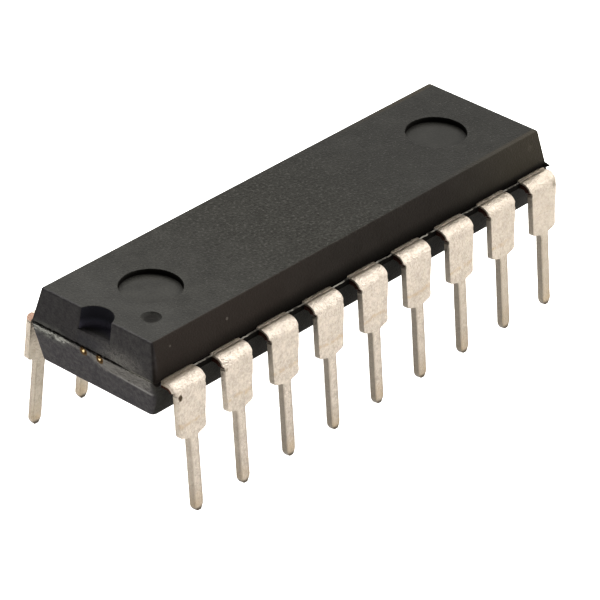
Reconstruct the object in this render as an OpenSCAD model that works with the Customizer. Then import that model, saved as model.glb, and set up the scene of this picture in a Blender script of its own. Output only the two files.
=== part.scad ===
// Dual in-line integrated circuit package, 300 mil wide, standing on its leads.
// The origin is the middle of the lead grid on the seating plane, where the leads' shoulders meet a board.
// X runs from the notched end to the plain end, Y across the rows, Z up. Millimetres.

/* [Moulded body] */
// Plastic beyond the centre of the outermost leads, at the parting plane
end_margin = 1.12; // [1.0:0.02:1.4]
// Width of the upper moulding at the parting plane
body_w = 6.34; // [6.1:0.02:6.9]
// Height of the moulding above the parting plane, which is the top of the leads
upper_h = 1.47; // [1.2:0.01:1.8]
// Height of the moulding below the parting plane
lower_h = 1.68; // [1.4:0.01:1.9]
// Draft of the upper end faces, in degrees
upper_end_draft = 8.5; // [5:0.5:15]
// Draft of the upper side faces, in degrees
upper_side_draft = 12.5; // [5:0.5:15]
// Draft of the lower end faces, in degrees
lower_end_draft = 10.5; // [5:0.5:15]
// Draft of the lower side faces, in degrees
lower_side_draft = 11.5; // [5:0.5:15]
// Step by which the lower moulding stands out past the upper one
parting_lip = 0.05; // [0.02:0.01:0.08]
// Leg of the flat that breaks each upright corner of the upper moulding
upper_break = 0.08; // [0.04:0.01:0.2]
// Leg of the flat that breaks each upright corner of the lower moulding
lower_break = 0.16; // [0.04:0.01:0.3]
// Height of the body's underside above the seating plane
standoff = 0.67; // [0.4:0.01:1.2]

/* [Marks in the moulding] */
// Radius of the notch in the end
notch_r = 0.79; // [0.5:0.01:1.0]
// Depth of the notch below the top face
notch_depth = 0.86; // [0.4:0.02:1.2]
// Distance of the notch's centre inside the end of the body
notch_inset = 0.05; // [0:0.01:0.2]
// Radius of the round ejector recesses
ejector_r = 1.23; // [0.8:0.01:1.4]
// Depth of the ejector recesses in the top face
ejector_depth = 0.25; // [0.05:0.01:0.35]
// Depth of the ejector marks in the underside
ejector_mark_depth = 0.08; // [0.05:0.01:0.2]
// Distance of the ejector centres from the ends of the body
ejector_inset = 3.13; // [2.8:0.01:4.0]
// Radius of the dimple beside the first lead
dimple_r = 0.37; // [0.25:0.01:0.5]
// Depth of the dimple
dimple_depth = 0.1; // [0.05:0.01:0.2]
// Distance of the dimple's centre from the end of the body
dimple_inset = 1.54; // [1.2:0.01:1.7]
// Distance of the dimple's centre from the middle of the body
dimple_side = 1.55; // [1.2:0.01:1.9]
// Width of the broken gate in the notched end, where the resin came in
gate_w = 2.2; // [1.0:0.05:2.3]
// Height of the broken gate below the parting plane
gate_h = 0.45; // [0.2:0.01:0.6]
// Distance of the gate's middle from the middle of the body
gate_side = 1.8; // [1.7:0.05:1.9]

/* [Leads] */
// Distance between neighbouring leads
lead_spacing = 2.54; // [2.3:0.01:2.8]
// Thickness of the lead frame's strip
lead_t = 0.22; // [0.2:0.01:0.3]
// Width of a lead where it leaves the body and bends
neck_w = 1.34; // [1.1:0.01:1.5]
// Width of a lead below the bend, down to its shoulder
shoulder_w = 1.36; // [1.2:0.01:1.6]
// Width of the leg that goes through the board
leg_w = 0.43; // [0.36:0.01:0.56]
// Straight length of lead between the moulding and the bend
stub_l = 0.35; // [0.28:0.01:0.5]
// Inner radius of the bend
bend_r = 0.22; // [0.12:0.01:0.25]
// Angle by which the legs spread outwards from upright
splay = 5.5; // [0:0.5:8]
// Length of the legs below the seating plane
leg_l = 3.16; // [2.9:0.01:3.8]
// Height over which the shoulder narrows to the leg
shoulder_rise = 0.13; // [0.05:0.01:0.3]
// Height below the top of the lead at which the trimmed dam bar left its step
dam_drop = 0.5; // [0.47:0.01:0.7]
// Height over which the tip of the leg narrows
tip_rise = 0.2; // [0.1:0.01:0.4]
// Width of the flat at the tip of the leg
tip_w = 0.24; // [0.1:0.01:0.3]
// Length by which resin stands out of the wall between the leads, where the dam bars were
flash_l = 0.2; // [0.1:0.01:0.25]
// Length by which that resin runs on past the outermost leads
flash_end = 0.12; // [0.05:0.01:0.3]

/* [Inner leads] */
// Depth of the broad part of a lead inside the body, which anchors it
anchor_depth = 0.45; // [0.35:0.01:0.6]
// Distance from the broad part of a lead to the finger that runs nearest to it
lane_inset = 0.77; // [0.65:0.01:0.9]
// Gap between fingers that run side by side
finger_gap = 0.21; // [0.15:0.01:0.24]
// Gap between the fingers' ends and the pad
pad_gap = 0.25; // [0.2:0.01:0.28]
// Distance between the fingers that end beside the pad
side_finger_spacing = 0.8; // [0.7:0.01:0.85]
// How far a finger moves sideways for each unit that it runs inwards
fan_slope = 0.85; // [0.6:0.01:1.0]

/* [Pad and chip] */
// Length of the pad under the chip
pad_l = 3.9; // [3.7:0.05:4.5]
// Depth of the pad's top below the leads' top
downset = 0.25; // [0.1:0.01:0.35]
// Length of the ramp in each tie bar
ramp_l = 0.4; // [0.3:0.05:0.8]
// Width of a tie bar
tie_w = 0.22; // [0.15:0.01:0.25]
// Distance of each tie bar from the middle of the body
tie_offset = 0.42; // [0.3:0.01:0.42]
// Length of cut tie bar that stands out of the end faces
tie_stub = 0.03; // [0.02:0.01:0.08]
// Length of the chip
die_l = 2.9; // [2.4:0.05:3.0]
// Margin of the pad beside the chip
die_margin = 0.45; // [0.25:0.01:0.7]
// Thickness of the chip
die_t = 0.28; // [0.2:0.01:0.35]
// Thickness of the adhesive layer under the chip
attach_t = 0.03; // [0.02:0.01:0.05]
// Margin by which the adhesive shows round the chip
attach_margin = 0.08; // [0.04:0.01:0.12]

/* [Bond wires] */
// Radius of the wire
wire_r = 0.0165; // [0.0125:0.0005:0.025]
// Height of the wire's loop above the chip
loop_h = 0.3; // [0.2:0.01:0.4]
// Radius of the ball on the chip
ball_r = 0.045; // [0.04:0.001:0.05]
// Height of the ball
ball_h = 0.02; // [0.015:0.001:0.03]
// Width of the flattened stitch on the finger
stitch_w = 0.06; // [0.05:0.005:0.08]
// Thickness of the flattened stitch
stitch_t = 0.012; // [0.008:0.001:0.015]
// Length of the flattened stitch
stitch_l = 0.08; // [0.05:0.01:0.1]
// Distance of the stitch from the end of the finger
stitch_inset = 0.2; // [0.15:0.01:0.25]
// Distance of the bonding points from the chip's edge
bond_inset = 0.1; // [0.08:0.01:0.15]
// Distance between the bonding points along the chip's long edges
side_bond_spacing = 0.5; // [0.4:0.01:0.55]

/* [Hidden] */
leads_per_row = 9;
lead_count = 2 * leads_per_row;
middle_lead = (leads_per_row + 1) / 2;
$fn = 64;
wire_sides = 6;
loop_steps = 8;
overlap = 0.1;
past = 1;

// Levels. The parting plane is the top of the leads.
lead_top_z = standoff + lower_h;
frame_z = lead_top_z - lead_t;
top_z = lead_top_z + upper_h;
pad_top_z = lead_top_z - downset;
die_top_z = pad_top_z + attach_t + die_t;

// Sizes of the body
body_l = (leads_per_row - 1) * lead_spacing + 2 * end_margin;
lower_l = body_l + 2 * parting_lip;
lower_w = body_w + 2 * parting_lip;
ejector_x = body_l / 2 - ejector_inset;
dimple_sphere_r = (dimple_r * dimple_r + dimple_depth * dimple_depth) / (2 * dimple_depth);

// Bend of a lead, in a section across the body: out from the middle and up
outer_r = bend_r + lead_t;
splay_out = [cos(splay), sin(splay)];
splay_down = [sin(splay), -cos(splay)];
bend_centre = [body_w / 2 + stub_l, lead_top_z - outer_r];
leg_run = (bend_centre.y + leg_l) / cos(splay) + past;

// Fingers inside the body. Their lanes are spaced evenly from the tie bars out to the anchors.
anchor_y = body_w / 2 - anchor_depth;
side_lane_y = anchor_y - lane_inset;
lane_count = middle_lead - 2;
lane_spacing = (side_lane_y - tie_offset) / lane_count;
finger_w = lane_spacing - finger_gap;

// Pad and chip
pad_w = 2 * (side_lane_y - finger_w / 2 - pad_gap);
die_w = pad_w - 2 * die_margin;
end_bond_spacing = (die_w - 2 * bond_inset) / (2 * lane_count - 1);

mould_black = [0.23, 0.23, 0.22];
tin = [0.83, 0.79, 0.72];
frame_copper = [0.76, 0.52, 0.33];
attach_grey = [0.62, 0.62, 0.6];
die_blue = [0.32, 0.34, 0.42];
bond_gold = [0.9, 0.7, 0.25];

function two_digits(i) = i < 10 ? str("0", i) : str(i);
function lead_name(i) = str("lead_", two_digits(i));
function wire_name(i) = str("bond_wire_", two_digits(i));

// Leads 1 to 9 run along the front from the notched end, and the others come back along the rear row.
function in_front(i) = i <= leads_per_row;
function column(i) = in_front(i) ? i - middle_lead : lead_count + 1 - middle_lead - i;
function lead_x(i) = column(i) * lead_spacing;
function steps_out(i) = abs(column(i));
function end_side(i) = sign(column(i));

// Route of a finger in plan, in the rear half of the body, from its anchor to its end beside the pad.
// The middle three come straight in beside the pad, and the rest turn into lanes that run along the body.
function lane_y(i) = side_lane_y - (steps_out(i) - 2) * lane_spacing;
function finger_tip(i) =
    steps_out(i) < 2 ? [column(i) * side_finger_spacing, pad_w / 2 + pad_gap]
    : steps_out(i) == 2 ? [end_side(i) * (2 * side_finger_spacing - finger_w / 2), lane_y(i)]
    : [end_side(i) * (pad_l / 2 + pad_gap), lane_y(i)];
function finger_knee(i) =
    steps_out(i) < 2 ? [finger_tip(i).x + column(i) * finger_gap * 2, anchor_y - finger_gap]
    : [lead_x(i) - end_side(i) * (anchor_y - lane_y(i)) * fan_slope, lane_y(i)];
function finger_route(i) = [[lead_x(i), anchor_y + overlap], finger_knee(i), finger_tip(i)];
function stitch_point(i) =
    finger_tip(i) + (steps_out(i) < 2 ? [0, stitch_inset] : [end_side(i) * stitch_inset, 0]);

// Bonding point on the chip, in the rear half of the body
function bond_point(i) =
    steps_out(i) <= 2
    ? [column(i) * side_bond_spacing, die_w / 2 - bond_inset]
    : [end_side(i) * (die_l / 2 - bond_inset), die_w / 2 - bond_inset - (steps_out(i) - 2) * end_bond_spacing];

// Sides of a strip of even width that follows a route, mitred where it turns
function unit(v) = v / norm(v);
function left_of(v) = [-v.y, v.x];
function side_step(p, j) =
    let (last = len(p) - 1,
         before = left_of(unit(j == 0 ? p[1] - p[0] : p[j] - p[j - 1])),
         after = left_of(unit(j == last ? p[last] - p[last - 1] : p[j + 1] - p[j])))
    (before + after) / (1 + before * after);
function strip_outline(p, w) = concat(
    [for (j = [0:len(p) - 1]) p[j] + side_step(p, j) * w / 2],
    [for (j = [len(p) - 1:-1:0]) p[j] - side_step(p, j) * w / 2]
);

// Puts a lead's parts in its own row.
module in_row(i) {
    if (in_front(i)) mirror([0, 1, 0]) children();
    else children();
}

// Section with sloping sides, base wide at the bottom and crown wide at height h
module taper(base, crown, h) {
    polygon([[-base / 2, 0], [base / 2, 0], [crown / 2, h], [-crown / 2, h]]);
}

// Block with drafted faces and broken upright corners, widest at the bottom
module drafted_block(l, w, h, end_draft, side_draft, corner_break) {
    crown_l = l - 2 * h * tan(end_draft);
    crown_w = w - 2 * h * tan(side_draft);
    base_span = (l + w - 2 * corner_break) / sqrt(2);
    crown_span = (crown_l + crown_w - 2 * corner_break) / sqrt(2);
    intersection() {
        rotate([90, 0, 0]) linear_extrude(2 * w, center = true) taper(l, crown_l, h);
        rotate([90, 0, 90]) linear_extrude(2 * l, center = true) taper(w, crown_w, h);
        intersection_for (turn = [-45, 45])
            rotate([90, 0, turn]) linear_extrude(2 * l, center = true) taper(base_span, crown_span, h);
    }
}

// Solid form of the moulding, before its marks and what it encloses
module moulding() {
    translate([0, 0, lead_top_z]) {
        drafted_block(body_l, body_w, upper_h, upper_end_draft, upper_side_draft, upper_break);
        mirror([0, 0, 1])
            drafted_block(lower_l, lower_w, lower_h, lower_end_draft, lower_side_draft, lower_break);
    }
}

// Stump of the gate, which stands out of the drafted wall as far as the parting plane does
module gate_stump() {
    stump_l = gate_h;
    translate([-lower_l / 2, -gate_side - gate_w / 2, lead_top_z - gate_h]) cube([stump_l, gate_w, gate_h]);
}

// Resin left between the leads and just past them, from the wall out to where the dam bars were
module dam_flash() {
    half_l = lead_x(leads_per_row) + neck_w / 2 + flash_end;
    half_w = body_w / 2 + flash_l;
    translate([-half_l, -half_w, frame_z]) cube([2 * half_l, 2 * half_w, lead_t]);
}

// Notch, ejector recesses and marks, and dimple
module mould_marks() {
    translate([-body_l / 2 + notch_inset, 0, top_z - notch_depth]) cylinder(r = notch_r, h = notch_depth + past);
    for (x = [-ejector_x, ejector_x]) {
        translate([x, 0, top_z - ejector_depth]) cylinder(r = ejector_r, h = ejector_depth + past);
        translate([x, 0, standoff - past]) cylinder(r = ejector_r, h = ejector_mark_depth + past);
    }
    translate([-body_l / 2 + dimple_inset, -dimple_side, top_z - dimple_depth + dimple_sphere_r])
        sphere(r = dimple_sphere_r);
}

module body() {
    color(mould_black) difference() {
        union() {
            moulding();
            gate_stump();
            dam_flash();
        }
        mould_marks();
        for (i = [1:lead_count]) in_row(i) lead_blade(i);
        paddle_form();
        attach_form();
        die_form();
        for (i = [1:lead_count]) wire_form(i);
    }
}

// Flat part of a lead: the broad neck through the wall, and the finger
module lead_blade(i) {
    translate([0, 0, frame_z]) linear_extrude(lead_t) {
        translate([lead_x(i) - neck_w / 2, anchor_y]) square([neck_w, bend_centre.x - anchor_y]);
        polygon(strip_outline(finger_route(i), finger_w));
    }
}

// Section through the formed part of a lead: a short flat, the bend and the splayed leg
module formed_section() {
    translate([bend_centre.x - overlap, frame_z]) square([overlap, lead_t]);
    translate(bend_centre) intersection() {
        difference() {
            circle(outer_r);
            circle(bend_r);
        }
        polygon([[0, 0], [0, 2 * outer_r], [2 * outer_r, 2 * outer_r], 2 * outer_r * splay_out]);
    }
    polygon([
        bend_centre + bend_r * splay_out,
        bend_centre + outer_r * splay_out,
        bend_centre + outer_r * splay_out + leg_run * splay_down,
        bend_centre + bend_r * splay_out + leg_run * splay_down
    ]);
}

// One side of a lead seen from the front, from the bend down to the tip
function half_outline(side) = [
    [side * neck_w / 2, lead_top_z + past],
    [side * neck_w / 2, lead_top_z - dam_drop],
    [side * shoulder_w / 2, lead_top_z - dam_drop],
    [side * shoulder_w / 2, shoulder_rise],
    [side * leg_w / 2, 0],
    [side * leg_w / 2, tip_rise - leg_l],
    [side * tip_w / 2, -leg_l]
];
module front_outline() {
    left = half_outline(-1);
    polygon(concat(half_outline(1), [for (j = [len(left) - 1:-1:0]) left[j]]));
}

// Formed part of a lead, outside the body
module formed_lead() {
    intersection() {
        rotate([90, 0, 90]) linear_extrude(2 * shoulder_w, center = true) formed_section();
        rotate([90, 0, 0]) linear_extrude(2 * body_w, center = true) front_outline();
    }
}

module lead(i) {
    color(tin) in_row(i) union() {
        lead_blade(i);
        translate([lead_x(i), 0, 0]) formed_lead();
    }
}

// Tie bar seen from the front, from the pad up its ramp and out through the end face
module tie_bar_section() {
    ramp_start = pad_l / 2 + overlap;
    ramp_end = ramp_start + ramp_l;
    outer_end = body_l / 2 + tie_stub;
    top = [
        [pad_l / 2 - overlap, pad_top_z],
        [ramp_start, pad_top_z],
        [ramp_end, lead_top_z],
        [outer_end, lead_top_z]
    ];
    polygon(concat(top, [for (j = [len(top) - 1:-1:0]) top[j] - [0, lead_t]]));
}

module paddle_form() {
    translate([-pad_l / 2, -pad_w / 2, pad_top_z - lead_t]) cube([pad_l, pad_w, lead_t]);
    for (end = [0, 1], y = [-tie_offset, tie_offset])
        mirror([end, 0, 0]) translate([0, y, 0])
            rotate([90, 0, 0]) linear_extrude(tie_w, center = true) tie_bar_section();
}
module die_paddle() {
    color(frame_copper) union() paddle_form();
}

module attach_form() {
    l = die_l + 2 * attach_margin;
    w = die_w + 2 * attach_margin;
    translate([-l / 2, -w / 2, pad_top_z]) cube([l, w, attach_t]);
}
module die_attach() {
    color(attach_grey) attach_form();
}

module die_form() {
    translate([-die_l / 2, -die_w / 2, pad_top_z + attach_t]) cube([die_l, die_w, die_t]);
}
module silicon_die() {
    color(die_blue) die_form();
}

// Loop of a bond wire in its own upright plane: [distance out, height] at t from 0 at the ball to 1 at the stitch.
// It rises straight from the ball and comes down to the finger at a slant.
function loop_corners(reach) = [
    [0, die_top_z + ball_h],
    [0, die_top_z + loop_h],
    [reach * 0.6, die_top_z + loop_h],
    [reach, lead_top_z + wire_r + stitch_t]
];
function loop_point(c, t) =
    pow(1 - t, 3) * c[0] + 3 * t * pow(1 - t, 2) * c[1] + 3 * t * t * (1 - t) * c[2] + pow(t, 3) * c[3];
function loop_way(c, t) =
    unit(pow(1 - t, 2) * (c[1] - c[0]) + 2 * t * (1 - t) * (c[2] - c[1]) + t * t * (c[3] - c[2]));

// Stations of the wire: centre, direction, half width and half thickness
function wire_stations(reach) =
    let (c = loop_corners(reach),
         up = [0, 1],
         out = [1, 0],
         stitch_level = lead_top_z + stitch_t / 2,
         ball = [[[0, die_top_z], up, ball_r, ball_r], [[0, die_top_z + ball_h], up, ball_r, ball_r]],
         loop = [for (k = [0:loop_steps])
             [loop_point(c, k / loop_steps), loop_way(c, k / loop_steps), wire_r, wire_r]],
         stitch = [for (d = [stitch_w / 2, stitch_l])
             [[reach + d, stitch_level], out, stitch_w / 2, stitch_t / 2]])
    concat(ball, loop, stitch);

// Corners of the wire's section at one station, flat on top and underneath
function wire_ring(station, start, along) =
    let (aside = [-along.y, along.x, 0],
         rise = [-station[1].y * along.x, -station[1].y * along.y, station[1].x],
         centre = [start.x + along.x * station[0].x, start.y + along.y * station[0].x, station[0].y])
    [for (j = [0:wire_sides - 1])
        let (a = 360 * j / wire_sides)
        centre + (aside * station[2] * cos(a) + rise * station[3] * sin(a)) / cos(180 / wire_sides)];

module swept_wire(from, to) {
    reach = norm(to - from);
    rings = [for (s = wire_stations(reach)) wire_ring(s, from, (to - from) / reach)];
    last = len(rings) - 1;
    points = [for (ring = rings) each ring];
    skin = [for (k = [0:last - 1], j = [0:wire_sides - 1])
        let (next = (j + 1) % wire_sides)
        [k * wire_sides + j, (k + 1) * wire_sides + j, (k + 1) * wire_sides + next, k * wire_sides + next]];
    ball_face = [for (j = [0:wire_sides - 1]) j];
    stitch_face = [for (j = [wire_sides - 1:-1:0]) last * wire_sides + j];
    polyhedron(points, concat(skin, [ball_face, stitch_face]));
}
module wire_form(i) {
    in_row(i) swept_wire(bond_point(i), stitch_point(i));
}
module bond_wire(i) {
    color(bond_gold) wire_form(i);
}

body();
for (i = [1:lead_count]) lead(i);
die_paddle();
die_attach();
silicon_die();
for (i = [1:lead_count]) bond_wire(i);
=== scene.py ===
"""Looks of a moulded dual in-line circuit package with tinned leads, laid out as an add-on."""
import math

import bmesh
import bpy
import numpy as np
from bpy.props import FloatProperty, FloatVectorProperty, PointerProperty
from mathutils import Matrix, Vector


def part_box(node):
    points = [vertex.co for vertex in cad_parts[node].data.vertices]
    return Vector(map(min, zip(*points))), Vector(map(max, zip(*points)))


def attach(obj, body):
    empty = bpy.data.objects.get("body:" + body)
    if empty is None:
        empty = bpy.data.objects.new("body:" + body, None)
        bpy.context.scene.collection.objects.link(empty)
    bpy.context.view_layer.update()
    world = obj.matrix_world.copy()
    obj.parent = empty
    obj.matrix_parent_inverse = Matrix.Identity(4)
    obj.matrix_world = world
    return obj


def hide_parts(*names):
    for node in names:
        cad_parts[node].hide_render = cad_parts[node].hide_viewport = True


bl_info = {
    "name": "Dual in-line package",
    "version": (1, 0, 0),
    "blender": (4, 5, 0),
    "location": "View3D > Sidebar > Package",
    "description": "Builds the moulding, the leads and the studio round a packed circuit package",
    "category": "Object",
}

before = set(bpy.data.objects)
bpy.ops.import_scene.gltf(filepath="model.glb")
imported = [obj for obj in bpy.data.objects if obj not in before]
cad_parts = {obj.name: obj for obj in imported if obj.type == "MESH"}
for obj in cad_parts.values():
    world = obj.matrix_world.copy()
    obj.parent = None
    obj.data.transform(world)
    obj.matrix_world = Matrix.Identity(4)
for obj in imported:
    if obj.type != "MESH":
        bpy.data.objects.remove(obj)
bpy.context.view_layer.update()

MM = 0.001
BODY = "root"
WELD = 2e-7
SHARP_ANGLE = math.radians(25)

# Levels taken from the frame
MOULD_LOW, MOULD_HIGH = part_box("body")
FIRST_LOW, FIRST_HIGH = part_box("lead_01")
UNDER_Z = MOULD_LOW.z
TOP_Z = MOULD_HIGH.z
PARTING_Z = FIRST_HIGH.z
TIP_Z = FIRST_LOW.z

LEADS_PER_ROW = 9
LEAD_COUNT = 2 * LEADS_PER_ROW

# Points on each stretch of the moulding's outline and on each corner arc
NOTCH_STEPS = 20
NOTCH_EDGE_STEPS = 5
END_STEPS = 56
CORNER_STEPS = 6
SIDE_STEPS = 200
ARC_STEPS = 6
ROUND_STEPS = 96
DIMPLE_STEPS = 14

# Rows of points up the lower wall, the band of the gate, the upper wall, and the wall beside the notch
LOWER_ROWS = 14
GATE_ROWS = 24
UPPER_ROWS = 16
NOTCH_ROWS = 12

# Stations along a lead's stub, bend and leg
STUB_STATIONS = 22
BEND_STATIONS = 18
LEG_STATIONS = 40

# The way to each soft lamp from the origin, its distance and its size in metres
KEY_LAMP = ((0.64, -0.52, 0.57), 0.4, 0.22)
BACK_LAMP = ((0.42, 0.5, 0.75), 0.5, 0.48)

# White of the room and of the floor's glow, radius of the floor, camera sensor in millimetres, and clipping
ROOM_WHITE = (1.0, 0.99, 0.975)
FLOOR_R = 1.5
SENSOR_W = 36.0
CLIP = (0.01, 10.0)


def length(mm, name, about):
    """A size in the panel, given in millimetres."""
    return FloatProperty(name=name, description=about, default=mm * MM, min=0.0, precision=5,
                         subtype="DISTANCE", unit="LENGTH")


def place(mm, name, about):
    """A place along an axis in the panel, given in millimetres, which may be negative."""
    return FloatProperty(name=name, description=about, default=mm * MM, precision=5,
                         subtype="DISTANCE", unit="LENGTH")


def angle(degrees, name, about):
    """An angle in the panel, given in degrees."""
    return FloatProperty(name=name, description=about, default=math.radians(degrees),
                         subtype="ANGLE", unit="ROTATION")


def share(value, name, about):
    """A share from 0 to 1 in the panel."""
    return FloatProperty(name=name, description=about, default=value, min=0.0, max=1.0, subtype="FACTOR")


def power(watts, name, about):
    """A lamp's power in the panel."""
    return FloatProperty(name=name, description=about, default=watts, min=0.0, subtype="POWER",
                         unit="POWER")


def colour(red, green, blue, name, about):
    """A colour in the panel, in linear values."""
    return FloatVectorProperty(name=name, description=about, default=(red, green, blue), min=0.0, max=1.0,
                               size=3, subtype="COLOR")


class PackageMouldSettings(bpy.types.PropertyGroup):
    """Sizes and colours of the resin moulding"""
    upper_end_draft: angle(8.5, "Upper end draft", "Slope of the upper end walls from upright")
    upper_side_draft: angle(12.5, "Upper side draft", "Slope of the upper side walls from upright")
    lower_end_draft: angle(10.5, "Lower end draft", "Slope of the lower end walls from upright")
    lower_side_draft: angle(11.5, "Lower side draft", "Slope of the lower side walls from upright")
    lip: length(0.05, "Lip", "Step by which the lower half stands out past the upper half")
    top_edge: length(0.045, "Top edge", "Radius of the edge round the top face")
    under_edge: length(0.07, "Underside edge", "Radius of the edge round the underside")
    upper_corner: length(0.1, "Upper corner", "Radius of the upright corners of the upper half")
    lower_corner: length(0.2, "Lower corner", "Radius of the upright corners of the lower half")
    seam_depth: length(0.035, "Seam depth", "Depth of the dark seam along the parting plane")
    notch_r: length(0.79, "Notch radius", "Radius of the notch in the end")
    notch_depth: length(0.86, "Notch depth", "Depth of the notch below the top face")
    notch_inset: length(0.05, "Notch inset", "Distance of the notch's centre inside the end")
    notch_edge: length(0.09, "Notch edge", "Radius of the upright edges beside the notch")
    ejector_r: length(1.23, "Ejector radius", "Radius of the round ejector recesses")
    ejector_depth: length(0.21, "Ejector depth", "Depth of the recesses in the top face")
    ejector_mark_depth: length(0.08, "Ejector mark depth", "Depth of the marks in the underside")
    ejector_inset: length(3.13, "Ejector inset", "Distance of the recesses' centres from the ends")
    dimple_r: length(0.4, "Dimple radius", "Radius of the dimple beside the first lead")
    dimple_depth: length(0.1, "Dimple depth", "Depth of the dimple")
    dimple_inset: length(1.54, "Dimple inset", "Distance of the dimple's centre from the end")
    dimple_side: length(1.55, "Dimple side", "Distance of the dimple's centre from the middle")
    gate_w: length(2.2, "Gate width", "Width of the broken gate in the notched end")
    gate_h: length(0.45, "Gate height", "Height of the broken gate below the parting plane")
    gate_side: length(1.8, "Gate place", "Distance of the gate's middle from the middle of the body")
    web_l: length(0.2, "Web length", "Length by which resin stands out between the leads")
    web_end: length(0.12, "Web end", "Length by which the resin runs on past the outermost leads")
    resin: colour(0.041, 0.0401, 0.0362, "Resin", "Filled black epoxy")
    resin_speck: colour(0.11, 0.108, 0.1, "Speck", "Filler grains that show at the surface")
    resin_broken: colour(0.176, 0.17, 0.159, "Broken resin", "Torn and rubbed resin at the gate and seam")
    # The web rim's colour is worn resin with a painted highlight
    rim_wear_and_highlight: colour(0.29, 0.275, 0.245, "Web rim", "Pale outer rim of the resin between the leads")


class PackageLeadSettings(bpy.types.PropertyGroup):
    """Sizes and colours of the leads"""
    spacing: length(2.54, "Lead spacing", "Distance between neighbouring leads of a row")
    strip_t: length(0.26, "Strip thickness", "Thickness of the lead frame's strip")
    neck_w: length(1.36, "Neck width", "Width of a lead where it leaves the body and bends")
    shoulder_w: length(1.385, "Shoulder width", "Width of a lead below the bend")
    leg_w: length(0.475, "Leg width", "Width of the leg that goes through a board")
    stub_l: length(0.35, "Stub length", "Straight length between the moulding and the bend")
    rear_in: length(0.08, "Rear step", "Distance by which the rear leads' bends stand nearer to the wall")
    bend_r: length(0.18, "Bend radius", "Inner radius of the bend")
    splay: angle(5.5, "Splay", "Angle by which the legs spread from upright")
    dam_drop: length(0.5, "Dam bar drop", "Height below the top at which the dam bar was cut off")
    shoulder_rise: length(0.13, "Shoulder rise", "Height over which the shoulder narrows to the leg")
    tip_rise: length(0.2, "Tip rise", "Height over which the tip narrows")
    tip_w: length(0.24, "Tip width", "Width of the flat at the tip")
    root_in: length(0.07, "Root", "Depth inside the wall at which the formed part starts")
    outer_edge: length(0.035, "Rolled edge", "Radius of the strip's edges on the outer face")
    inner_edge: length(0.015, "Cut edge", "Radius of the strip's edges on the inner face")
    groove_out: length(0.2, "Groove place", "Distance of the clamp groove from the wall")
    groove_depth: length(0.022, "Groove depth", "Depth of the clamp groove across the stub")
    groove_w: length(0.04, "Groove width", "Half width of the clamp groove")
    burr: length(0.1, "Burr", "Length of the burr at the left edge of the front leads' bends")
    swell: length(0.12, "Swell", "Extra width at the right of the front leads' bends")
    crease_z: place(0.62, "Crease level", "Height of the faint crease above the seating plane")
    tin: colour(0.462, 0.413, 0.358, "Tin", "Matt tin plating")
    tin_dull: colour(0.33, 0.29, 0.235, "Dull tin", "Handled and oxidised tin")
    stain: colour(0.34, 0.255, 0.15, "Stain", "Ochre stain along the crease and at the tips")
    # The copper colour is painted very dark, as the shade under the bend
    copper: colour(0.05, 0.02, 0.014, "Copper", "Bare cut sides of the strip beside the bend")


class PackageStageSettings(bpy.types.PropertyGroup):
    """Camera, lights and floor"""
    azimuth: angle(-48.46, "Azimuth", "Turn of the camera round the part")
    elevation: angle(31.36, "Elevation", "Height of the camera above the horizon")
    roll: angle(1.21, "Roll", "Turn of the camera about its own axis")
    distance: length(165.865, "Distance", "Distance of the camera from the point it was fitted round")
    aim_z: place(-0.359, "Aim height", "Height of the point that the camera was fitted round")
    aim_right: length(0.157, "Aim right", "Step to the right from that point to the picture's middle")
    aim_down: length(0.019, "Aim down", "Step down from that point to the picture's middle")
    lens: FloatProperty(name="Lens", description="Focal length in millimetres on a 36 mm sensor",
                        default=256.04, min=1.0, subtype="DISTANCE_CAMERA")
    floor: colour(0.5, 0.495, 0.49, "Floor", "Plain pale floor")
    glow: share(0.8, "Floor glow", "Light that the floor gives off, as a light table does")
    sky: share(0.32, "Surround", "Brightness of the white room")
    key: power(1.15, "Key lamp", "Power of the soft lamp in front on the right")
    back: power(3.4, "Back lamp", "Power of the soft lamp behind on the right")


class Patchwork:
    """Surface patches gathered into one mesh, with named masks on their points"""

    def __init__(self):
        self.points = []
        self.faces = []
        self.masks = []
        self.count = 0

    def add(self, points, faces, **masks):
        """Adds a patch. A mask is one value for the patch or an array with one for each point."""
        self.points.append(points)
        self.faces += [[i + self.count for i in face] for face in faces]
        self.masks.append((len(points), masks))
        self.count += len(points)

    def build(self, name, flat_levels=()):
        """Welds the patches, fills their open rings at the flat levels and returns the object."""
        mesh = bpy.data.meshes.new(name)
        mesh.from_pydata(np.concatenate(self.points).tolist(), [], self.faces)
        for mask in sorted({key for _, masks in self.masks for key in masks}):
            values = [np.broadcast_to(np.float32(masks.get(mask, 0.0)), n) for n, masks in self.masks]
            layer = mesh.attributes.new(mask, "FLOAT", "POINT")
            layer.data.foreach_set("value", np.concatenate(values))
        bm = bmesh.new()
        bm.from_mesh(mesh)
        bmesh.ops.remove_doubles(bm, verts=bm.verts, dist=WELD)
        for level in flat_levels:
            rim = [edge for edge in bm.edges
                   if edge.is_boundary and all(abs(vert.co.z - level) < WELD for vert in edge.verts)]
            bmesh.ops.triangle_fill(bm, use_beauty=True, edges=rim)
        bmesh.ops.recalc_face_normals(bm, faces=bm.faces)
        bm.to_mesh(mesh)
        bm.free()
        mesh.polygons.foreach_set("use_smooth", np.ones(len(mesh.polygons), bool))
        mesh.set_sharp_from_angle(angle=SHARP_ANGLE)
        piece = bpy.data.objects.new(name, mesh)
        bpy.context.scene.collection.objects.link(piece)
        return piece


def grid_faces(rows, columns, closed):
    """Quads between neighbouring rows of a grid. A closed grid also joins its last column to its first."""
    last = columns if closed else columns - 1
    row, column = np.meshgrid(np.arange(rows - 1), np.arange(last), indexing="ij")
    start = row * columns + column
    beside = row * columns + (column + 1) % columns
    return np.stack([start, beside, beside + columns, start + columns], -1).reshape(-1, 4).tolist()


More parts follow.
